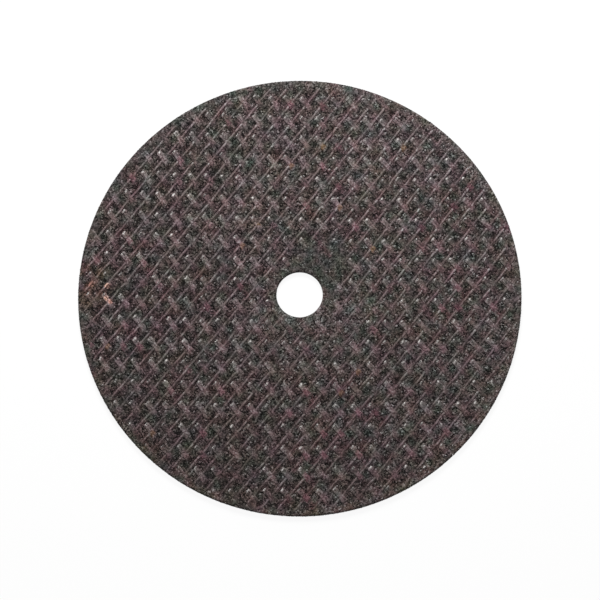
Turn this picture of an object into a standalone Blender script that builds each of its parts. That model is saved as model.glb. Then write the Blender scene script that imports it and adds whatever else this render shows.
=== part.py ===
"""Flat cut-off wheel of resin-bonded abrasive grit, with a woven glass mesh pressed into both faces.

Metres, +Z up. The wheel is one piece. It lies flat, with the centre of its bore at the origin.
"""
import math

import bmesh
import bpy
from mathutils import Matrix, Vector
from mathutils.geometry import delaunay_2d_cdt

# The wheel
WHEEL_DIAMETER = 0.1524
BORE_DIAMETER = 0.015875
WHEEL_THICKNESS = 0.0016

# Plain bands of grit that no strand reaches: the flange seat round the bore, and the rim
FLANGE_SEAT_WIDTH = 0.0016
RIM_BAND_WIDTH = 0.0012

# The glass mesh: thin straight strands rise to the right, and thick strands fall to the right
THIN_STRAND_PITCH = 0.00451
THIN_STRAND_ANGLE = math.radians(51.2)
THICK_STRAND_PITCH = 0.00446
THICK_STRAND_ANGLE = math.radians(127.9)

# Where the cloth lies over the middle of the wheel, and how far it is pulled out of square at the
# rim, all in strands
THIN_STRAND_SHIFT = 0.98
THICK_STRAND_SHIFT = 0.26
THIN_STRAND_TWIST = 0.36
THICK_STRAND_TWIST = 0.90
THICK_STRAND_BOW = -0.47

# Relief below the crests of the mesh
WINDOW_DEPTH = 0.00024
THICK_STRAND_DIP = 0.00016
THIN_STRAND_DROP = 0.00005

# The relief dies away over this width beside each plain band
FADE_WIDTH = 0.0024

# Points of a face within this distance are one point
POINTS_ARE_ONE = WHEEL_DIAMETER * 1e-6

# Facets of the two round walls
RIM_SEGMENTS = 96
BORE_SEGMENTS = 40

# Strands counted past the rim, so that the twisted cloth covers the whole wheel
SPARE_STRANDS = 4

# Steps in which the search for a place on the twisted cloth closes in on it
SEARCH_STEPS = 12

# The dip of a thick strand lies beyond the middle of its span, towards the thin strand that it dives under
DIP_PLACE = 0.56

# Points of the mesh nearer to a plain band than this share of the pitch are left out
EDGE_CLEARANCE = 0.30

# Edges that bend more than this stay sharp
WALL_EDGE_ANGLE = math.radians(40)

RESIN_COLOUR = (0.078, 0.062, 0.060, 1.0)
RESIN_ROUGHNESS = 0.82


def clear_scene():
    for item in list(bpy.data.objects):
        bpy.data.objects.remove(item, do_unlink=True)
    for mesh in list(bpy.data.meshes):
        bpy.data.meshes.remove(mesh)
    for material in list(bpy.data.materials):
        bpy.data.materials.remove(material)


def straight_cloth():
    """Turns a point of the face into counts of thin and thick strands, where the cloth is in square."""
    return Matrix((
        (math.sin(THIN_STRAND_ANGLE) / THIN_STRAND_PITCH, -math.cos(THIN_STRAND_ANGLE) / THIN_STRAND_PITCH),
        (math.sin(THICK_STRAND_ANGLE) / THICK_STRAND_PITCH, -math.cos(THICK_STRAND_ANGLE) / THICK_STRAND_PITCH),
    ))


def strand_numbers(point):
    """The counts of thin and thick strands from the middle of the wheel to a point of its face."""
    across, along = point / (WHEEL_DIAMETER / 2)
    shift = Vector((THIN_STRAND_SHIFT, THICK_STRAND_SHIFT))
    twist = Vector((THIN_STRAND_TWIST, THICK_STRAND_TWIST)) * across * along
    bow = Vector((0.0, THICK_STRAND_BOW)) * across * across
    return straight_cloth() @ point + shift + twist + bow


def place_on_face(numbers):
    """The point of the face that has these strand numbers: the twist and bow are small, so steps that
    take the cloth as straight close in on it."""
    unlay = straight_cloth().inverted()
    point = Vector((0.0, 0.0))
    for _ in range(SEARCH_STEPS):
        point = point + unlay @ (numbers - strand_numbers(point))
        if point.length > WHEEL_DIAMETER:
            return None
    return point


def face_relief(radius, depth):
    """The depth of a feature of the mesh, less beside the plain bands."""
    inner = BORE_DIAMETER / 2 + FLANGE_SEAT_WIDTH
    outer = WHEEL_DIAMETER / 2 - RIM_BAND_WIDTH
    beside = min(radius - inner, outer - radius) / FADE_WIDTH
    share = min(max(beside, 0.0), 1.0)
    return depth * share * share * (3 - 2 * share)


def ring(radius, segments):
    turns = [2 * math.pi * k / segments for k in range(segments)]
    return [Vector((radius * math.cos(turn), radius * math.sin(turn))) for turn in turns]


def woven_points():
    """Points of one woven face by strand numbers: crossings, dips of thick strands, and windows."""
    pitch = min(THIN_STRAND_PITCH, THICK_STRAND_PITCH)
    inner = BORE_DIAMETER / 2 + FLANGE_SEAT_WIDTH + EDGE_CLEARANCE * pitch
    outer = WHEEL_DIAMETER / 2 - RIM_BAND_WIDTH - EDGE_CLEARANCE * pitch
    reach = int(WHEEL_DIAMETER / pitch) + SPARE_STRANDS
    points = {}
    for thin in range(-reach, reach + 1):
        for thick in range(-reach, reach + 1):
            crossing_on_top = (thin + thick) % 2 == 0
            dip = DIP_PLACE if crossing_on_top else 1 - DIP_PLACE
            features = (
                ((thin, thick), 0.0 if crossing_on_top else THIN_STRAND_DROP),
                ((thin + dip, thick), THICK_STRAND_DIP),
                ((thin + 0.5, thick + 0.5), WINDOW_DEPTH),
            )
            for kind, (numbers, depth) in enumerate(features):
                point = place_on_face(Vector(numbers))
                if point is None or not inner < point.length < outer:
                    continue
                points[(thin, thick, kind)] = (point, face_relief(point.length, depth))
    return points


def strand_edges(points):
    """Pairs of points that a strand joins: these stay edges of the finished face."""
    pairs = []
    for thin, thick, kind in points:
        if kind == 0:
            joined = ((thin, thick + 1, 0), (thin, thick, 1), (thin - 1, thick, 1))
            pairs += [((thin, thick, kind), other) for other in joined if other in points]
    return pairs


def face_mesh():
    """Points, depths and triangles of one face, between the wall of the bore and that of the rim."""
    points = woven_points()
    order = {key: place for place, key in enumerate(points)}
    flat = [point for point, depth in points.values()]
    depths = [depth for point, depth in points.values()]
    edges = [(order[a], order[b]) for a, b in strand_edges(points)]
    rings = (
        (BORE_DIAMETER / 2, BORE_SEGMENTS),
        (BORE_DIAMETER / 2 + FLANGE_SEAT_WIDTH, BORE_SEGMENTS),
        (WHEEL_DIAMETER / 2 - RIM_BAND_WIDTH, RIM_SEGMENTS),
        (WHEEL_DIAMETER / 2, RIM_SEGMENTS),
    )
    for radius, segments in rings:
        first = len(flat)
        flat += ring(radius, segments)
        depths += [0.0] * segments
        edges += [(first + k, first + (k + 1) % segments) for k in range(segments)]
    corners, _, triangles, sources, _, _ = delaunay_2d_cdt(flat, edges, [], 0, POINTS_ARE_ONE)
    heights = [depths[source[0]] if source else 0.0 for source in sources]
    # a triangle inside the bore has its middle within the flats of the bore's wall
    flats_radius = BORE_DIAMETER / 2 * math.cos(math.pi / BORE_SEGMENTS)
    kept = []
    for triangle in triangles:
        middle = sum((corners[k] for k in triangle), Vector((0.0, 0.0))) / 3
        if middle.length > flats_radius - POINTS_ARE_ONE:
            kept.append(tuple(triangle))
    return corners, heights, kept


def build_wheel():
    corners, depths, triangles = face_mesh()
    body = bmesh.new()
    half = WHEEL_THICKNESS / 2
    top = [body.verts.new((p.x, p.y, half - d)) for p, d in zip(corners, depths)]
    bottom = [body.verts.new((p.x, p.y, d - half)) for p, d in zip(corners, depths)]
    for a, b, c in triangles:
        clockwise = (corners[b] - corners[a]).cross(corners[c] - corners[a]) < 0
        if clockwise:
            b, c = c, b
        body.faces.new((top[a], top[b], top[c]))
        body.faces.new((bottom[a], bottom[c], bottom[b]))
    index = {vert: k for k, vert in enumerate(top)}
    for edge in [edge for edge in body.edges if len(edge.link_faces) == 1 and edge.verts[0] in index]:
        loop = edge.link_loops[0]
        a = index[loop.vert]
        b = index[edge.other_vert(loop.vert)]
        body.faces.new((top[b], top[a], bottom[a], bottom[b]))
    mesh = bpy.data.meshes.new("abrasive_wheel")
    body.to_mesh(mesh)
    body.free()
    mesh.shade_smooth()
    mesh.set_sharp_from_angle(angle=WALL_EDGE_ANGLE)
    wheel = bpy.data.objects.new("abrasive_wheel", mesh)
    bpy.context.scene.collection.objects.link(wheel)
    return wheel


def resin_material():
    material = bpy.data.materials.new("resin_bonded_grit")
    material.use_nodes = True
    shader = next(n for n in material.node_tree.nodes if n.type == "BSDF_PRINCIPLED")
    shader.inputs["Base Color"].default_value = RESIN_COLOUR
    shader.inputs["Roughness"].default_value = RESIN_ROUGHNESS
    shader.inputs["Metallic"].default_value = 0.0
    return material


clear_scene()
wheel = build_wheel()
wheel.data.materials.append(resin_material())
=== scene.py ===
import math

import bpy
import numpy as np
from mathutils import Matrix, Vector


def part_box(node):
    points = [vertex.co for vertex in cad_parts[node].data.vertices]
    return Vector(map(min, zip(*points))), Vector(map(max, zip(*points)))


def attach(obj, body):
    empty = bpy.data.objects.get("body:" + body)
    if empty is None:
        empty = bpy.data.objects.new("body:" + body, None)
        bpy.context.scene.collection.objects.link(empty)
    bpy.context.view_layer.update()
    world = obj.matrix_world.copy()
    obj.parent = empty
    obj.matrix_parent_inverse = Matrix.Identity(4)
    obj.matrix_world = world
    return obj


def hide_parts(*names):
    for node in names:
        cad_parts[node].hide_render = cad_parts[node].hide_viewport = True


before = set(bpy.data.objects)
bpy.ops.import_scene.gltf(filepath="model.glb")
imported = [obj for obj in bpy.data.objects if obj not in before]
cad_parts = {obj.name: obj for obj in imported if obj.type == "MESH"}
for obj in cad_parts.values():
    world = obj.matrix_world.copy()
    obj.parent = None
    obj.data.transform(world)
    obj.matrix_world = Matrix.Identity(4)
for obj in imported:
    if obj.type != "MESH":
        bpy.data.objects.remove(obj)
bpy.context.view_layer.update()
low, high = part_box("abrasive_wheel")


# The pressed wheel: abrasive grit and resin, filled into a round mould and pressed hot, so that both
# faces take the print of the glass mesh. It is one closed body with a plain bore, and its faces sink
# into a window between each four strands.

MM = 0.001
WHEEL_RADIUS = (high[0] - low[0]) / 2
BORE_RADIUS = 7.9375 * MM
HALF_THICKNESS = (high[2] - low[2]) / 2

# The plain bands at the bore and at the rim, and how far beside them the relief dies away
SEAT_WIDTH = 1.6 * MM
RIM_BAND = 1.2 * MM
FADE_WIDTH = 2.4 * MM

# The weave: pitch and lie of the two families of strands, where the cloth lies over the wheel's middle,
# and how far it is pulled out of square at the rim, both in strands
THIN_PITCH = 4.51 * MM
THIN_ANGLE = math.radians(51.2)
THICK_PITCH = 4.46 * MM
THICK_ANGLE = math.radians(127.9)
THIN_SHIFT = 0.98
THICK_SHIFT = 0.26
THIN_TWIST = 0.36
THICK_TWIST = 0.90
THICK_BOW = -0.47

# What a step in x and one in y add to the count of thin strands, and to that of thick ones
THIN_STEP = (math.sin(THIN_ANGLE) / THIN_PITCH, -math.cos(THIN_ANGLE) / THIN_PITCH)
THICK_STEP = (math.sin(THICK_ANGLE) / THICK_PITCH, -math.cos(THICK_ANGLE) / THICK_PITCH)


class Wire:
    """A socket in a node tree. Arithmetic on wires adds Math nodes, and Wire.node adds any other node."""

    def __init__(self, tree, socket):
        self.tree = tree
        self.socket = socket

    @staticmethod
    def node(tree, kind, settings=None, inputs=None, output=0):
        """Adds a node: first its settings, then a value or a wire for each named or numbered input."""
        node = tree.nodes.new(kind)
        for name, value in (settings or {}).items():
            if name == "stops":
                ramp = node.color_ramp
                ramp.elements.remove(ramp.elements[1])
                ramp.elements[0].position, ramp.elements[0].color = value[0]
                for place, colour in value[1:]:
                    ramp.elements.new(place).color = colour
            else:
                setattr(node, name, value)
        for name, value in (inputs or {}).items():
            if isinstance(value, Wire):
                tree.links.new(value.socket, node.inputs[name])
            else:
                node.inputs[name].default_value = value
        return Wire(tree, node.outputs[output])

    def out(self, name):
        """Another output of the node that this wire comes from."""
        return Wire(self.tree, self.socket.node.outputs[name])

    def maths(self, operation, *others):
        values = dict(enumerate((self, *others)))
        return Wire.node(self.tree, "ShaderNodeMath", {"operation": operation}, values)

    def __add__(self, other):
        return self.maths("ADD", other)

    __radd__ = __add__

    def __mul__(self, other):
        return self.maths("MULTIPLY", other)

    __rmul__ = __mul__

    def __neg__(self):
        return self.maths("MULTIPLY", -1.0)

    def __sub__(self, other):
        return self.maths("SUBTRACT", other)

    def __rsub__(self, other):
        return -self + other

    def __truediv__(self, other):
        return self.maths("DIVIDE", other)

    def __pow__(self, other):
        return self.maths("POWER", other)

    def __abs__(self):
        return self.maths("ABSOLUTE")

    def larger(self, other):
        return self.maths("MAXIMUM", other)

    def smaller(self, other):
        return self.maths("MINIMUM", other)

    def above(self, limit):
        """1 above a limit and 0 below it."""
        return self.maths("GREATER_THAN", limit)

    def ease(self, start, end):
        """A smooth step from 0 at start to 1 at end."""
        values = {"Value": self, "From Min": start, "From Max": end}
        return Wire.node(self.tree, "ShaderNodeMapRange", {"interpolation_type": "SMOOTHSTEP"}, values)

    def fade(self, start, end):
        """A smooth step from 1 at start to 0 at end."""
        return 1 - self.ease(start, end)

    def point(self, y=0.0, z=0.0):
        """A vector with this wire as its X."""
        return Wire.node(self.tree, "ShaderNodeCombineXYZ", {}, {"X": self, "Y": y, "Z": z})

    def axes(self):
        """The X, Y and Z of a vector."""
        across = Wire.node(self.tree, "ShaderNodeSeparateXYZ", {}, {"Vector": self})
        return across, across.out("Y"), across.out("Z")

    def scaled(self, factor):
        """A vector or colour, times a number."""
        values = {0: self, "Scale": factor}
        return Wire.node(self.tree, "ShaderNodeVectorMath", {"operation": "SCALE"}, values)

    def mixed(self, first, second):
        """Two colours, mixed by this wire."""
        settings = {"data_type": "RGBA", "clamp_factor": True}
        return Wire.node(self.tree, "ShaderNodeMix", settings, {0: self, 6: first, 7: second}, 2)

    def noise(self, scale, detail, output="Fac"):
        """Soft noise over a point."""
        values = {"Vector": self, "Scale": scale, "Detail": detail}
        return Wire.node(self.tree, "ShaderNodeTexNoise", {}, values, output)

    def cells(self, scale, output):
        """Small cells over a point, as of crushed grain."""
        values = {"Vector": self, "Scale": scale}
        return Wire.node(self.tree, "ShaderNodeTexVoronoi", {"feature": "F1"}, values, output)

    def ramp(self, *stops):
        """Colours over 0 to 1. A stop is a place, then one grey or a red, green and blue, 0 to 255."""
        stops = [(place, paint(*(levels * 3 if len(levels) == 1 else levels))) for place, *levels in stops]
        return Wire.node(self.tree, "ShaderNodeValToRGB", {"stops": stops}, {"Fac": self})

    def from_strand(self):
        """How far this count of strands is from the nearest strand, 0 to 0.5."""
        return self.maths("PINGPONG", 0.5)

    def anew(self):
        """Another chance value, made from this one."""
        return (self * 7.0).maths("FRACT")


def paint(red, green, blue):
    """A colour as a picture shows it, 0 to 255, turned into the linear colour that a shader takes."""
    return tuple(((c / 255 + 0.055) / 1.055) ** 2.4 for c in (red, green, blue)) + (1.0,)


def from_axis(x, y):
    """How far a point is from the wheel's axis."""
    return (x * x + y * y) ** 0.5


def cloth_pull(x, y):
    """The twist and the bow of the cloth at a point of the face."""
    return x * y * (1 / WHEEL_RADIUS ** 2), x * x * (THICK_BOW / WHEEL_RADIUS ** 2)


def strand_numbers(x, y):
    """How many thin and how many thick strands lie between the wheel's middle and a point of its face."""
    twist, bow = cloth_pull(x, y)
    thin = x * THIN_STEP[0] + y * THIN_STEP[1] + THIN_SHIFT + twist * THIN_TWIST
    thick = x * THICK_STEP[0] + y * THICK_STEP[1] + THICK_SHIFT + twist * THICK_TWIST + bow
    return thin, thick


def knuckle(thin, thick):
    """Where a point lies along a thick yarn: -1 to 1, with 0 on the thin yarn that the thick one covers,
    and three chance values that belong to that knuckle."""
    yarn = thick.maths("ROUND")
    phase = (thin - yarn + 1).maths("FLOORED_MODULO", 2.0) - 1
    number = (thin - phase).maths("ROUND").point(yarn)
    settings = {"noise_dimensions": "3D"}
    chance = Wire.node(thin.tree, "ShaderNodeTexWhiteNoise", settings, {"Vector": number}, "Color")
    return phase, chance.axes()[0]


def window_chance(thin, thick):
    """A chance value that belongs to the window between four strands."""
    number = thin.maths("FLOOR").point(thick.maths("FLOOR"))
    settings = {"noise_dimensions": "2D"}
    return Wire.node(thin.tree, "ShaderNodeTexWhiteNoise", settings, {"Vector": number}, "Value")


def soft_spot(x, y, spot, core=0.4):
    """1 in the core of a round spot, falling to 0 at its reach. A spot is x, y and reach in mm."""
    across, along, reach = spot
    away = ((x - across * MM) ** 2 + (y - along * MM) ** 2) ** 0.5
    return away.fade(reach * core * MM, reach * MM)


# Beside the bore, grit covers the mesh in these spots: the spot, and how well it covers
COVERED_SPOTS = (((7.5, 11.5, 12.0), 1.0), ((14.0, -8.0, 15.0), 0.3))


def in_relief(x, y):
    """1 where the mesh stands out, 0 on the plain bands, and less where grit covers the mesh."""
    radius = from_axis(x, y)
    beside_seat = (radius - (BORE_RADIUS + SEAT_WIDTH)).ease(0.0, FADE_WIDTH)
    beside_rim = (-radius + (WHEEL_RADIUS - RIM_BAND)).ease(0.0, FADE_WIDTH)
    # lumps of grit cover the mesh here and there, and more of it lies in the spots above
    covered = x.point(y).noise(60.0, 2.0).ease(0.61, 0.78) * 0.8
    for spot, share in COVERED_SPOTS:
        covered = covered.larger(soft_spot(x, y, spot, core=0.45) * share)
    return beside_seat * beside_rim * (1 - covered)


def geometry_tree(name, sizes):
    """A geometry tree with a named input for each size, and the wires of its inputs."""
    tree = bpy.data.node_groups.new(name, "GeometryNodeTree")
    tree.interface.new_socket("Geometry", in_out="INPUT", socket_type="NodeSocketGeometry")
    tree.interface.new_socket("Geometry", in_out="OUTPUT", socket_type="NodeSocketGeometry")
    for label, value in sizes.items():
        kind = "NodeSocketInt" if isinstance(value, int) else "NodeSocketFloat"
        tree.interface.new_socket(label, in_out="INPUT", socket_type=kind)
    entry = tree.nodes.new("NodeGroupInput")
    return tree, {label: Wire(tree, entry.outputs[label]) for label in ("Geometry", *sizes)}


def made_piece(name, mesh, tree, shape, material, sizes):
    """Ends a tree, runs it on a mesh and keeps the result as a plain piece of the wheel."""
    real = Wire.node(tree, "GeometryNodeRealizeInstances", {}, {"Geometry": shape})
    painted = Wire.node(tree, "GeometryNodeSetMaterial", {}, {"Geometry": real, "Material": material})
    leave = tree.nodes.new("NodeGroupOutput")
    tree.links.new(painted.socket, leave.inputs["Geometry"])
    maker = bpy.data.objects.new(name + "_maker", mesh)
    bpy.context.scene.collection.objects.link(maker)
    modifier = maker.modifiers.new("shape", "NODES")
    modifier.node_group = tree
    for socket in tree.interface.items_tree:
        if socket.in_out == "INPUT" and socket.name in sizes:
            modifier[socket.identifier] = sizes[socket.name]
    depsgraph = bpy.context.evaluated_depsgraph_get()
    piece_mesh = bpy.data.meshes.new_from_object(maker.evaluated_get(depsgraph), depsgraph=depsgraph)
    bpy.data.objects.remove(maker, do_unlink=True)
    piece_mesh.name = name
    piece = bpy.data.objects.new(name, piece_mesh)
    bpy.context.scene.collection.objects.link(piece)
    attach(piece, "root")
    return piece


def ring_faces(here, count, there, other):
    """Faces between two rings of points, where one may have twice as many points as the other."""
    faces = []
    few = min(count, other)
    for a in range(few):
        b = (a + 1) % few
        if count == other:
            faces.append((here + a, here + b, there + b, there + a))
        elif count > other:
            middle, last = here + 2 * a + 1, here + (2 * a + 2) % count
            faces += [(here + 2 * a, middle, there + a), (middle, last, there + b),
                      (middle, there + b, there + a)]
        else:
            middle, last = there + 2 * a + 1, there + (2 * a + 2) % other
            faces += [(there + 2 * a, here + a, middle), (middle, here + b, last),
                      (middle, here + a, here + b)]
    return faces


# The resin stays this far inside the wheel's size, and the surface grit stands out of it
SKIN = 0.10 * MM

RING_STEP = 0.75 * MM
RIM_POINTS = 640
WALL_ROWS = 3


def ringed_wheel():
    """A closed flat wheel of rings of points, with half as many on a ring each time the radius halves."""
    rings = round((WHEEL_RADIUS - BORE_RADIUS) / RING_STEP)
    radii = np.linspace(WHEEL_RADIUS - SKIN, BORE_RADIUS + SKIN / 2, rings)
    # the small number keeps a radius that is just halved from rounding to the wrong side
    counts = [RIM_POINTS >> int(math.log2(radii[0] / radius) + 1e-9) for radius in radii]
    height = HALF_THICKNESS - SKIN
    loops = [(radius, count, height) for radius, count in zip(radii, counts)]
    down = np.linspace(height, -height, WALL_ROWS + 2)[1:-1]
    loops += [(radii[-1], counts[-1], z) for z in down]
    loops += [(radius, count, -height) for radius, count, _ in loops[:rings]][::-1]
    loops += [(radii[0], counts[0], z) for z in down[::-1]]
    points = []
    starts = []
    for radius, count, z in loops:
        starts.append(len(points))
        turns = [2 * math.pi * k / count for k in range(count)]
        points += [(radius * math.cos(turn), radius * math.sin(turn), z) for turn in turns]
    faces = []
    for k in range(len(loops)):
        following = (k + 1) % len(loops)
        faces += ring_faces(starts[k], loops[k][1], starts[following], loops[following][1])
    mesh = bpy.data.meshes.new("ringed_wheel")
    mesh.from_pydata(points, [], faces)
    return mesh


# The rust stain by the left of the rim, and the bright rusty specks in it
RUST_STAIN = (-73.0, 3.0, 11.0)
RUST_SPECKS = ((-71.8, 3.9, 1.5), (-66.2, 3.2, 1.5), (-66.4, -1.2, 1.2), (-65.0, -2.3, 1.2))

# The spot by the bore where the resin is greyer, and the thick yarn above the bore whose resin is grey
GREY_SPOT = (8.0, -1.0, 30.0)
GREY_YARN = 3.0


def stained(grey, place, pink=0.0, rust=0.0, cool=0.0):
    """Colours a grey as warm resin does: redder on the yarns, greener in the middle of a window, pink or
    crimson where pink is asked for, rusty at the rust stain, and a little different from place to place.
    What is nearly white stays so."""
    x, y, _ = place.axes()
    thin, thick = strand_numbers(x, y)
    _, chance = knuckle(thin, thick)
    shown = in_relief(x, y)
    to_right = x.ease(-10.0 * MM, 50.0 * MM)
    redder, bluer, rustier = place.noise(200.0, 1.0, "Color").axes()

    # rust, in the stain by the left of the rim and thinly along the lower rim
    stain = soft_spot(x, y, RUST_STAIN) * rustier.ease(0.35, 0.65) * 0.8 + rust
    speck = soft_spot(x, y, RUST_SPECKS[0])
    for spot in RUST_SPECKS[1:]:
        speck = speck.larger(soft_spot(x, y, spot))
    low_rim = from_axis(x, y).ease(69.0 * MM, 75.0 * MM) * (-y).ease(5.0 * MM, 50.0 * MM)
    stain = stain.larger(speck * 0.8) + low_rim * rustier.ease(0.42, 0.62) * 0.35

    # the middle of a window is greener: every other row of windows less, and each by its own chance
    middle = thin.from_strand().ease(0.16, 0.42) * thick.from_strand().ease(0.16, 0.42) * shown
    other_row = (thin.maths("FLOOR") + thick.maths("FLOOR")).maths("FLOORED_MODULO", 2.0)
    greener = middle * (0.01 + to_right * 0.10 - other_row * 0.04 + window_chance(thin, thick) * 0.15)

    # red and blue, each as a share of green
    grey_yarn = abs(thick - GREY_YARN).fade(0.3, 1.1) * y.ease(0.0, 8.0 * MM)
    crimson = chance.out("X").ease(0.72, 1.0)
    red = 1.195 + shown * 0.12 - greener
    red = red + (redder - 0.5) * 1.40 - grey_yarn * 0.10
    red = red - y.ease(20.0 * MM, 70.0 * MM) * 0.03 - to_right * 0.012
    red = red - soft_spot(x, y, GREY_SPOT) * 0.065
    red = red + pink * (crimson * 0.80 + 0.20 + to_right * 0.06) + stain * 0.40
    blue = 0.922 + (red - 1.2) * 0.24 + (bluer - 0.5) * 0.45 - stain * 0.36 + cool
    blue = blue + y.ease(30.0 * MM, 70.0 * MM) * 0.01

    # the further the red is from its usual share, the darker the tint
    even = 1 - abs(red - 1.2) * 0.3
    tint = (red * even).point(even, blue * even)
    tint = (grey.ease(0.02, 0.32) * (1 - speck) * 0.8).mixed(tint, (1.0, 1.0, 1.0, 1.0))
    bright = grey.scaled(speck * 1.3 + 1)
    return Wire.node(grey.tree, "ShaderNodeVectorMath", {"operation": "MULTIPLY"}, {0: bright, 1: tint})


def new_material(name, roughness, specular):
    """A material, its shader, and the point of the object that it colours."""
    material = bpy.data.materials.new(name)
    material.use_nodes = True
    tree = material.node_tree
    shader = next(n for n in tree.nodes if n.type == "BSDF_PRINCIPLED")
    shader.inputs["Roughness"].default_value = roughness
    shader.inputs["Specular IOR Level"].default_value = specular
    return material, shader, Wire.node(tree, "ShaderNodeTexCoord", output="Object")


def coloured(shader, colour):
    """Feeds a colour to a shader."""
    colour.tree.links.new(colour.socket, shader.inputs["Base Color"])


def bumped(shader, height, strength, depth, inwards=False):
    """Gives a shader a fine relief of this depth in metres."""
    values = {"Strength": strength, "Distance": depth, "Height": height}
    bump = Wire.node(height.tree, "ShaderNodeBump", {"invert": inwards}, values, "Normal")
    height.tree.links.new(bump.socket, shader.inputs["Normal"])


# Spots by the bore where the grit is darker, and where it is lighter
DARK_SPOT = (8.0, 11.5, 17.0)
LIGHT_SPOT = (-5.0, -13.0, 22.0)


def grit_light(x, y):
    """How light the grit is: more on the plain bands, partly lighter grit and partly painted light, as they
    are not sunk in shade like the windows; more at the upper side of a window; more beside a thick yarn,
    painted light over the yarn's shade; more to the right and a little less at the top, painted light
    across the face; and less where a thick yarn has dived, painted shade."""
    thin, thick = strand_numbers(x, y)
    phase, _ = knuckle(thin, thick)
    plain = 1 - in_relief(x, y)
    upwards = (thick - thick.maths("FLOOR")) - (thin - thin.maths("FLOOR"))
    # painted shade: the grit is darker where a thick yarn has dived under a thin one
    dive = thick.from_strand().fade(0.12, 0.40) * abs(phase).ease(0.50, 0.70)
    # painted light: the grit beside a thick yarn is lifted over the shade that the yarn casts
    painted_light_beside_yarn = thick.from_strand().fade(0.27, 0.40) * phase.ease(-0.92, -0.72) * phase.fade(0.10, 0.35)
    pattern = upwards * 0.10 - dive * 0.14 + painted_light_beside_yarn * 0.18 + (window_chance(thin, thick) - 0.5) * 0.16
    # painted light: lighter towards the right and a little darker towards the top of the face
    sides = x.ease(-65.0 * MM, 40.0 * MM) * 0.28 - y.ease(20.0 * MM, 75.0 * MM) * 0.04
    beside_bore = soft_spot(x, y, LIGHT_SPOT) * 0.23 - soft_spot(x, y, DARK_SPOT) * 0.26
    # the plain bands are lighter: partly lighter grit, partly painted light, as they are not sunk in shade
    return (plain * 0.52 + pattern * (1 - plain) + 1) * (sides + beside_bore + 0.855)


def grit_material():
    """Dark grit in resin, in grains of many greys, lighter where it isn't pressed in by the mesh, partly
    as lighter grit and partly as painted light, and with the painted light and shade of grit_light.
    """
    material, shader, place = new_material("grit_in_resin", 0.85, 0.08)
    x, y, _ = place.axes()
    thin, thick = strand_numbers(x, y)
    phase, _ = knuckle(thin, thick)
    plain = 1 - in_relief(x, y)
    near_thin = thin.from_strand().fade(0.10, 0.26)
    near_thick = thick.from_strand().fade(0.12, 0.30) * abs(phase).fade(0.3, 0.7)
    resin = near_thin.larger(near_thick) * (1 - plain)
    under_thick = thick.from_strand().fade(0.08, 0.28) * 0.35
    cells_per_metre = 1950.0
    cells = place.cells(cells_per_metre, "Color")
    tone = Wire.node(cells.tree, "ShaderNodeSeparateColor", {}, {"Color": cells})
    grains = tone.ramp((0.00, 2), (0.30, 25), (0.55, 54), (0.80, 79), (0.95, 102), (1.00, 134))
    film = tone.out("Green").ramp((0.00, 12), (0.45, 36), (1.00, 88))
    grey = (resin * 0.6).larger(plain * 0.45).mixed(grains, film)
    coloured(shader, stained(grey.scaled(grit_light(x, y)), place, pink=(resin * 0.3).larger(under_thick)))
    bumped(shader, place.cells(cells_per_metre, "Distance"), 0.9, 0.18 * MM, inwards=True)
    return material


def pressed_wheel():
    """The wheel's body, with its faces pressed in at the windows and roughened."""
    sizes = {"Window sink": 0.17 * MM, "Ridge": 0.55, "Roughness": 0.07 * MM}
    tree, given = geometry_tree("press_the_faces", sizes)
    here = Wire.node(tree, "GeometryNodeInputPosition")
    x, y, z = here.axes()
    thin, thick = strand_numbers(x, y)
    phase, _ = knuckle(thin, thick)
    near_thin = thin.from_strand().fade(0.06, 0.28)
    near_thick = thick.from_strand().fade(0.10, 0.34) * abs(phase).fade(0.4, 0.8)
    ridge = near_thin.larger(near_thick * 0.35) * given["Ridge"]
    rough = (here.noise(620.0, 2.0) - 0.5) * given["Roughness"]
    sink = in_relief(x, y) * given["Window sink"] * (1 - ridge) + rough
    # the rows of points in the two walls lie lower than this, and stay where they are
    on_face = abs(z).above(HALF_THICKNESS - 1.5 * SKIN)
    offset = Wire.node(tree, "ShaderNodeCombineXYZ", {}, {"Z": z.maths("SIGN") * sink * on_face * -1.0})
    values = {"Geometry": given["Geometry"], "Offset": offset}
    shape = Wire.node(tree, "GeometryNodeSetPosition", {}, values)
    piece = made_piece("grit_and_resin", ringed_wheel(), tree, shape, grit_material(), sizes)
    piece.data.shade_smooth()
    return piece


body = pressed_wheel()
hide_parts("abrasive_wheel")


# The glass mesh: two layers of woven glass yarn in resin, one laid in each face before pressing. The
# thick yarns come up over every other thin yarn, with bare glass and a painted highlight where they
# rise, and dive into the grit between. The thin yarns lie almost level, and many dip a little where a
# thick one covers them.

# Steps in which the search for a place on the twisted cloth closes in on it
SEARCH_STEPS = 4


def place_on_face(thin, thick):
    """The point of the face that has these strand numbers: first as if the cloth were in square, then
    with its twist and bow."""
    scale = 1 / (THIN_STEP[0] * THICK_STEP[1] - THIN_STEP[1] * THICK_STEP[0])

    def in_square(first, second):
        return ((first * THICK_STEP[1] - second * THIN_STEP[1]) * scale,
                (second * THIN_STEP[0] - first * THICK_STEP[0]) * scale)

    first, second = thin - THIN_SHIFT, thick - THICK_SHIFT
    x, y = in_square(first, second)
    for _ in range(SEARCH_STEPS):
        twist, bow = cloth_pull(x, y)
        x, y = in_square(first - twist * THIN_TWIST, second - twist * THICK_TWIST - bow)
    return x, y


def from_end(phase, chance, x):
    """The phase along a thick yarn, moved so that each knuckle starts a little sooner or later."""
    return phase + (chance.out("Z") - 0.5) * 0.18 + x.ease(10.0 * MM, 60.0 * MM) * 0.02 - 0.07


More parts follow.
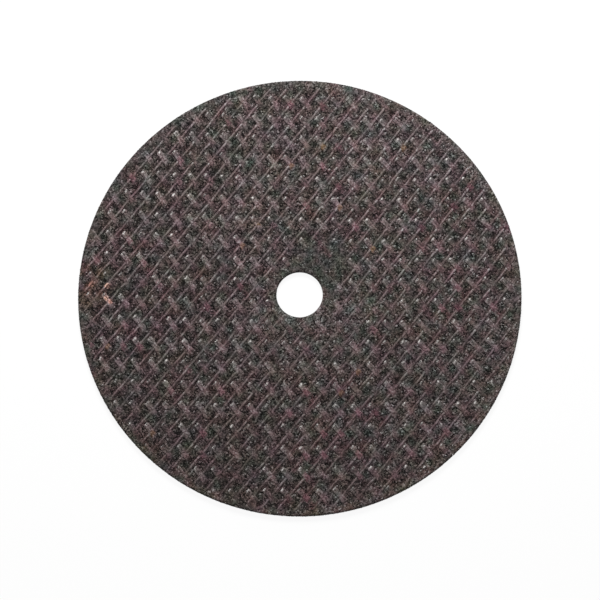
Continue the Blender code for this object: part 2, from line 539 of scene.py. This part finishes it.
def thin_yarn_light(x, y, phase, tone, patches):
    """How light a thin yarn is: more just before the thick one that covers it, a painted highlight, and
    less beyond that, painted shade.
    """
    to_upper_right = (x * 0.6 + y).ease(-20.0 * MM, 60.0 * MM)
    # painted highlight on a thin yarn just before the thick one that covers it
    before = abs(phase + 0.3).fade(0.05, 0.25) * to_upper_right
    # painted shade on a thin yarn beyond the thick one
    beyond = phase.ease(0.10, 0.30) * phase.fade(0.60, 0.90) * (x - y).ease(0.0, 60.0 * MM)
    light = tone * 0.36 + patches * 0.86 - 0.075 + before * 0.22 - beyond * 0.16
    return light + y.ease(-40.0 * MM, 60.0 * MM) * 0.02 + x.ease(10.0 * MM, 50.0 * MM) * 0.05


def thick_yarn_light(x, phase, chance, tone, patches):
    """How light a thick yarn is: more where it crosses the thin one, less beyond that, painted shade where
    it slopes down into the grit, and each knuckle by its own chance."""
    own = (chance.out("Y") * 5.0).maths("FRACT").ease(0.0, 0.7)
    light = tone * 0.70 + patches * 0.26 + own * 0.25 - 0.275
    # painted shade: darker beyond the crossing, where the yarn slopes down into the grit
    light = light + abs(phase).fade(0.10, 0.35) * 0.06 - phase.ease(0.05, 0.40) * 0.07
    return light + (-x).ease(5.0 * MM, 45.0 * MM) * 0.03 - x.ease(20.0 * MM, 50.0 * MM) * 0.02


def bare_glass_and_highlight(x, y, thick, phase, chance):
    """How bare the glass is at the end of a knuckle where the thick yarn comes up, with a painted
    highlight there that is strongest at the far left and weaker towards the top.
    """
    end = from_end(phase, chance, x)
    crest = 1 - abs(thick - thick.maths("ROUND") - 0.02).ease(0.03, 0.16) * 0.85
    # partly worn, bare glass and partly a painted highlight, by chance for each knuckle
    wear_and_highlight = chance.out("X").anew().ease(0.0, 0.7) * 0.58 + 0.92
    wear_and_highlight = wear_and_highlight - x.ease(-55.0 * MM, -10.0 * MM) * 0.40 + x.ease(20.0 * MM, 55.0 * MM) * 0.14
    wear_and_highlight = wear_and_highlight - y.ease(10.0 * MM, 60.0 * MM) * 0.15
    return end.ease(-0.84, -0.78) * end.fade(-0.77, -0.62) * crest * wear_and_highlight


def yarn_material(name, thin_family):
    """Glass yarn soaked in resin and dirty with grit. A thick one is pink, crimson or rusty where it
    crosses the thin one, and bare glass with a painted highlight at the end where it comes up."""
    material, shader, place = new_material(name, 0.7, 0.15)
    x, y, _ = place.axes()
    thin, thick = strand_numbers(x, y)
    phase, chance = knuckle(thick, thin) if thin_family else knuckle(thin, thick)
    cells = place.cells(2500.0, "Color")
    tone = Wire.node(cells.tree, "ShaderNodeSeparateColor", {}, {"Color": cells})
    patches = place.noise(420.0, 2.0)
    if thin_family:
        light = thin_yarn_light(x, y, phase, tone, patches)
    else:
        light = thick_yarn_light(x, phase, chance, tone, patches)
    grey = light.ramp((0.00, 30), (0.30, 64), (0.65, 100), (1.00, 150))
    dirt = (tone.out("Green") - patches * 0.3).ease(0.60, 0.68)
    grey = (dirt * (0.7 if thin_family else 0.3)).mixed(grey, paint(24, 24, 24))
    cool = from_axis(x, y).ease(25.0 * MM, 65.0 * MM) * (-y).fade(30.0 * MM, 70.0 * MM) * 0.012 + 0.008
    if thin_family:
        coloured(shader, stained(grey, place, pink=0.3, cool=cool))
    else:
        pink = abs(phase - 0.08).fade(0.10, 0.45)
        rusty = (chance.out("Y") + y.ease(-10.0 * MM, 50.0 * MM) * 0.02).above(0.965)
        rust = abs(phase - 0.15).fade(0.05, 0.30) * rusty
        resin = stained(grey, place, pink=pink * (1 - rust), rust=rust * 1.3, cool=cool)
        # the pale colour of bare glass, which also stands for the painted highlight at a knuckle's end
        glass = tone.ramp((0.00, 44, 42, 41), (0.35, 124, 120, 118), (0.75, 188, 184, 181),
                          (1.00, 218, 214, 211))
        coloured(shader, bare_glass_and_highlight(x, y, thick, phase, chance).mixed(resin, glass))
    bumped(shader, place.noise(3200.0, 2.0), 0.4, 0.12 * MM)
    return material


# Strands counted each way from the wheel's middle, so that the twisted cloth covers the whole wheel
REACH = 40

# The yarns are cut this far inside the rim and outside the bore
RIM_TRIM = 0.7 * MM
BORE_TRIM = 0.9 * MM


def thin_yarn_rise(thin, thick, phase, x, y):
    """1 where a thin yarn lies high, and less where it dips under a thick one. At the lower right all
    of them dip, and at the upper left only some."""
    _, chance = knuckle(thin, thick)
    dips = (chance.out("X").anew() + (x - y).ease(-20.0 * MM, 40.0 * MM)).above(0.3)
    return 1 - abs(phase).fade(0.12, 0.40) * dips


def thick_yarn_rise(thin, thick, phase, x):
    """1 where a thick yarn lies high: it comes up steeply, falls a little and dives again."""
    _, chance = knuckle(thin, thick)
    rise = from_end(phase, chance, x).ease(-0.88, -0.68) * (1 - phase.ease(-0.6, -0.1) * 0.12)
    return rise * phase.fade(0.20, 0.65)


def straight_rows(tree, points_per_pitch, plies):
    """Rows of points by strand numbers: X is the count along a yarn, and Y the yarn's own number, with
    the plies of one yarn on both sides of it."""
    step = (points_per_pitch ** -1.0).point()
    line = Wire.node(tree, "GeometryNodeMeshLine", {"mode": "OFFSET"}, {
        "Count": points_per_pitch * (2 * REACH) + 1, "Start Location": (-REACH, 0, 0), "Offset": step})
    # two plies lie a quarter of a count on both sides of their yarn's number
    row = Wire.node(tree, "GeometryNodeMeshLine", {"mode": "OFFSET"}, {
        "Count": (2 * REACH + 1) * plies, "Start Location": (0, -REACH - 0.25 * (plies - 1), 0),
        "Offset": (0, 1 / plies, 0)})
    rows = Wire.node(tree, "GeometryNodeInstanceOnPoints", {}, {"Points": row, "Instance": line})
    return Wire.node(tree, "GeometryNodeRealizeInstances", {}, {"Geometry": rows})


def swept(tree, given, rows):
    """Sweeps a flattened round section along rows of points, and presses it level with the face."""
    path = Wire.node(tree, "GeometryNodeMeshToCurve", {}, {"Mesh": rows})
    path = Wire.node(tree, "GeometryNodeSetCurveNormal", {"mode": "Z_UP"}, {"Curve": path})
    section = Wire.node(tree, "GeometryNodeCurvePrimitiveCircle", {"mode": "RADIUS"},
                        {"Resolution": given["Facets"], "Radius": 1.0})
    flattened = given["Half width"].point(given["Half height"], 1.0)
    section = Wire.node(tree, "GeometryNodeTransform", {}, {"Geometry": section, "Scale": flattened})
    girth = Wire.node(tree, "GeometryNodeInputNamedAttribute", {"data_type": "FLOAT"}, {"Name": "girth"})
    yarn = Wire.node(tree, "GeometryNodeCurveToMesh", {},
                     {"Curve": path, "Profile Curve": section, "Scale": girth, "Fill Caps": True})
    x, y, z = Wire.node(tree, "GeometryNodeInputPosition").axes()
    level = x.point(y, z.smaller(HALF_THICKNESS))
    return Wire.node(tree, "GeometryNodeSetPosition", {}, {"Geometry": yarn, "Position": level})


def yarns(name, facing, thin_family, material, sizes):
    """One family of yarns in one face. A thick yarn is two plies side by side, which the thin yarn
    pinches together where the thick one crosses it."""
    tree, given = geometry_tree("lay_" + name, sizes)
    rows = straight_rows(tree, given["Points per pitch"], 1 if thin_family else 2)
    along, row, _ = Wire.node(tree, "GeometryNodeInputPosition").axes()
    strand = row.maths("ROUND")
    phase = (along - strand + 1).maths("FLOORED_MODULO", 2.0) - 1
    if thin_family:
        x, y = place_on_face(strand, along)
    else:
        pinch = 1 - abs(phase).fade(0.0, 0.4) * 0.35
        x, y = place_on_face(along, strand + (row - strand).maths("SIGN") * given["Plies apart"] * pinch)
    shown = in_relief(x, y)
    radius = from_axis(x, y)
    aside, upwards, deeper = x.point(y).noise(210.0, 1.0, "Color").axes()
    wobble = given["Wobble"]
    x = x + (aside - 0.5) * wobble + x.ease(-30.0 * MM, 60.0 * MM) * given["Drift"]
    y = y + (upwards - 0.5) * wobble
    if thin_family:
        rise = thin_yarn_rise(strand, along, phase, x, y)
        girth = 1.0
    else:
        rise = thick_yarn_rise(along, strand, phase, x)
        girth = 1.0 + phase.ease(0.05, 0.35) * 0.35
    height = given["Lowest"] + rise * given["Crimp"] - (1 - shown) * given["End sink"]
    height = height + (deeper - 0.5) * wobble * 0.15
    for label, value in (("radius_here", radius), ("girth", girth)):
        rows = Wire.node(tree, "GeometryNodeStoreNamedAttribute", {"data_type": "FLOAT", "domain": "POINT"},
                         {"Geometry": rows, "Name": label, "Value": value})
    rows = Wire.node(tree, "GeometryNodeSetPosition", {}, {"Geometry": rows, "Position": x.point(y, height)})
    kept = Wire.node(tree, "GeometryNodeInputNamedAttribute", {"data_type": "FLOAT"}, {"Name": "radius_here"})
    outside = kept.above(WHEEL_RADIUS - RIM_TRIM)
    inside = kept.maths("LESS_THAN", BORE_RADIUS + BORE_TRIM)
    rows = Wire.node(tree, "GeometryNodeDeleteGeometry", {"domain": "POINT"},
                     {"Geometry": rows, "Selection": outside.larger(inside)})
    shape = swept(tree, given, rows)
    if facing < 0:
        shape = Wire.node(tree, "GeometryNodeTransform", {}, {"Geometry": shape, "Scale": (1.0, 1.0, -1.0)})
        shape = Wire.node(tree, "GeometryNodeFlipFaces", {}, {"Mesh": shape})
    piece = made_piece(name, bpy.data.meshes.new(name), tree, shape, material, sizes)
    piece.data.shade_smooth()


thin_glass = yarn_material("thin_yarn_glass", True)
thick_glass = yarn_material("thick_yarn_glass", False)
for face, facing in (("front", 1), ("back", -1)):
    yarns(face + "_thin_yarns", facing, True, thin_glass, {
        "Points per pitch": 5, "Facets": 8, "Half width": 0.36 * MM, "Half height": 0.13 * MM,
        "Lowest": 0.56 * MM, "Crimp": 0.11 * MM, "End sink": 0.18 * MM, "Wobble": 0.6 * MM,
        "Drift": 0.35 * MM})
    yarns(face + "_thick_yarns", facing, False, thick_glass, {
        "Points per pitch": 5, "Facets": 6, "Half width": 0.60 * MM, "Half height": 0.13 * MM,
        "Lowest": 0.30 * MM, "Crimp": 0.37 * MM, "End sink": 0.20 * MM, "Wobble": 0.7 * MM,
        "Drift": -0.3 * MM, "Plies apart": 0.095})


# The surface grit: the outermost grains of aluminium oxide and silicon carbide, half sunk in the
# resin of each face, in the windows of the mesh and thinly over its yarns, and in the two walls.

def grain_material():
    """Sharp grains, each of one grey, stained by the resin that holds it."""
    material, shader, place = new_material("abrasive_grains", 0.6, 0.15)
    x, y, _ = place.axes()
    tone = Wire.node(place.tree, "ShaderNodeAttribute", {"attribute_name": "tone"}, output="Fac")
    grey = tone.ramp((0.00, 2), (0.25, 26), (0.50, 57), (0.80, 79), (0.97, 101), (1.00, 142))
    # the grains take the grit's painted light and shade from grit_light, as well as its tone
    coloured(shader, stained(grey.scaled(grit_light(x, y)), place))
    return material


def chance_between(tree, least, most, seed):
    """A chance value, or three for a vector, for each grain."""
    if isinstance(least, tuple):
        settings, values, output = {"data_type": "FLOAT_VECTOR"}, {0: least, 1: most}, 0
    else:
        settings, values, output = {"data_type": "FLOAT"}, {2: least, 3: most}, 1
    return Wire.node(tree, "FunctionNodeRandomValue", settings, {**values, "Seed": seed}, output)


def bare_of_grit(x, y):
    """Where the yarns push the grit aside: 1 along a thin yarn and on the high part of a thick one."""
    thin, thick = strand_numbers(x, y)
    phase, _ = knuckle(thin, thick)
    on_thin = thin.from_strand().fade(0.07, 0.15)
    on_thick = thick.from_strand().fade(0.19, 0.28) * phase.ease(-0.88, -0.74) * phase.fade(0.2, 0.5)
    return on_thin.larger(on_thick) * in_relief(x, y)


def surface_grit(name, facing, seed, material):
    """Four-sided chips strewn over one face, or with facing 0 over the two walls, within the wheel's size."""
    sizes = {"Grains per square metre": 5.0e6, "Least gap": 0.40 * MM, "Smallest": 0.19 * MM,
             "Largest": 0.39 * MM}
    tree, given = geometry_tree("strew_" + name, sizes)
    _, _, upright = Wire.node(tree, "GeometryNodeInputNormal").axes()
    upright = upright * facing if facing else 1 - abs(upright)
    x, y, _ = Wire.node(tree, "GeometryNodeInputPosition").axes()
    points = Wire.node(tree, "GeometryNodeDistributePointsOnFaces", {"distribute_method": "POISSON"}, {
        "Mesh": given["Geometry"], "Selection": upright.above(0.3), "Seed": seed,
        "Distance Min": given["Least gap"], "Density Max": given["Grains per square metre"],
        "Density Factor": 1 - bare_of_grit(x, y) * 0.95})
    # a chip is a cone of three sides, with its middle moved to the point that holds it
    chip = Wire.node(tree, "GeometryNodeMeshCone", {"fill_type": "NGON"}, {
        "Vertices": 3, "Radius Top": 0.0, "Radius Bottom": 1.0, "Depth": 1.4})
    chip = Wire.node(tree, "GeometryNodeTransform", {}, {"Geometry": chip, "Translation": (0.0, 0.0, -0.4)})
    turn = chance_between(tree, (0.0, 0.0, 0.0), (6.28, 6.28, 6.28), seed + 1)
    size = chance_between(tree, given["Smallest"], given["Largest"], seed + 2)
    stretch = chance_between(tree, (0.7, 0.7, 0.6), (1.2, 1.2, 1.0), seed + 3)
    grains = Wire.node(tree, "GeometryNodeInstanceOnPoints", {}, {
        "Points": points, "Instance": chip, "Rotation": turn, "Scale": stretch.scaled(size)})
    tone = chance_between(tree, 0.0, 1.0, seed + 4)
    grains = Wire.node(tree, "GeometryNodeStoreNamedAttribute", {"data_type": "FLOAT", "domain": "INSTANCE"},
                       {"Geometry": grains, "Name": "tone", "Value": tone})
    grains = Wire.node(tree, "GeometryNodeRealizeInstances", {}, {"Geometry": grains})
    # a corner that would stand out of the wheel's size is cut back to it
    x, y, z = Wire.node(tree, "GeometryNodeInputPosition").axes()
    radius = from_axis(x, y)
    hold = radius.smaller(WHEEL_RADIUS).larger(BORE_RADIUS) / radius
    cut = (x * hold).point(y * hold, z.smaller(HALF_THICKNESS).larger(-HALF_THICKNESS))
    grains = Wire.node(tree, "GeometryNodeSetPosition", {}, {"Geometry": grains, "Position": cut})
    made_piece(name, body.data, tree, grains, material, sizes)


grain = grain_material()
surface_grit("front_grit", 1.0, 11, grain)
surface_grit("back_grit", -1.0, 31, grain)
surface_grit("edge_grit", 0.0, 51, grain)


# The floor: a plain white sheet that the wheel lies on. The camera sees it as the studio's white, but
# it keeps the wheel's shadow.

def white_floor():
    reach = 1.5
    ground = -HALF_THICKNESS
    mesh = bpy.data.meshes.new("floor")
    corners = [(x * reach, y * reach, ground) for x, y in ((-1, -1), (1, -1), (1, 1), (-1, 1))]
    mesh.from_pydata(corners, [], [(0, 1, 2, 3)])
    floor = bpy.data.objects.new("floor", mesh)
    bpy.context.scene.collection.objects.link(floor)
    material, shader, _ = new_material("white_paper", 0.9, 0.0)
    shader.inputs["Base Color"].default_value = (1.0, 1.0, 1.0, 1.0)
    tree = material.node_tree
    seen = Wire.node(tree, "ShaderNodeLightPath", output="Is Camera Ray")
    white = Wire.node(tree, "ShaderNodeEmission", {}, {"Color": (1.0, 1.0, 1.0, 1.0), "Strength": 1.0})
    paper = Wire(tree, shader.outputs[0])
    mix = Wire.node(tree, "ShaderNodeMixShader", {}, {"Fac": seen * 0.92, 1: paper, 2: white})
    tree.links.new(mix.socket, tree.nodes["Material Output"].inputs["Surface"])
    mesh.materials.append(material)


white_floor()


# The light: one large soft lamp above the upper side of the wheel, and an even white room.

def studio_light():
    world = bpy.data.worlds.new("white_room")
    bpy.context.scene.world = world
    world.use_nodes = True
    tree = world.node_tree
    background = next(n for n in tree.nodes if n.type == "BACKGROUND")
    background.inputs["Color"].default_value = (1.0, 1.0, 1.0, 1.0)
    seen = Wire.node(tree, "ShaderNodeLightPath", output="Is Camera Ray")
    plain = seen.larger(seen.out("Is Glossy Ray")).larger(seen.out("Is Transmission Ray"))
    room_light = 0.26
    strength = plain * (1 - room_light) + room_light
    tree.links.new(strength.socket, background.inputs["Strength"])
    lamp = bpy.data.lights.new("soft_lamp", "AREA")
    lamp.shape = "DISK"
    lamp.size = 0.20
    lamp.energy = 2.81
    holder = bpy.data.objects.new("soft_lamp", lamp)
    holder.location = (-0.02, 0.33, 0.30)
    holder.rotation_euler = (-Vector(holder.location)).to_track_quat("-Z", "Y").to_euler()
    bpy.context.scene.collection.objects.link(holder)


studio_light()


# The camera: a long lens almost straight above the wheel, a little towards the viewer.

def photo_camera():
    scene = bpy.context.scene
    camera = bpy.data.cameras.new("camera")
    camera.sensor_width = 36.0
    camera.lens = 135.7
    holder = bpy.data.objects.new("camera", camera)
    tilt, lean, distance = math.radians(11.0), math.radians(-4.0), 10.2 * WHEEL_RADIUS
    away = Vector((-math.sin(lean) * math.sin(tilt), -math.cos(lean) * math.sin(tilt), math.cos(tilt)))
    holder.location = away * distance
    aim = Vector((0.15 * MM, -1.8 * MM, 0.0))
    ahead = (aim - holder.location).normalized()
    right = ahead.cross(Vector((0.0, 1.0, 0.0))).normalized()
    holder.rotation_euler = Matrix((right, right.cross(ahead), -ahead)).transposed().to_euler()
    scene.collection.objects.link(holder)
    scene.camera = holder
    scene.view_settings.view_transform = "Standard"


photo_camera()
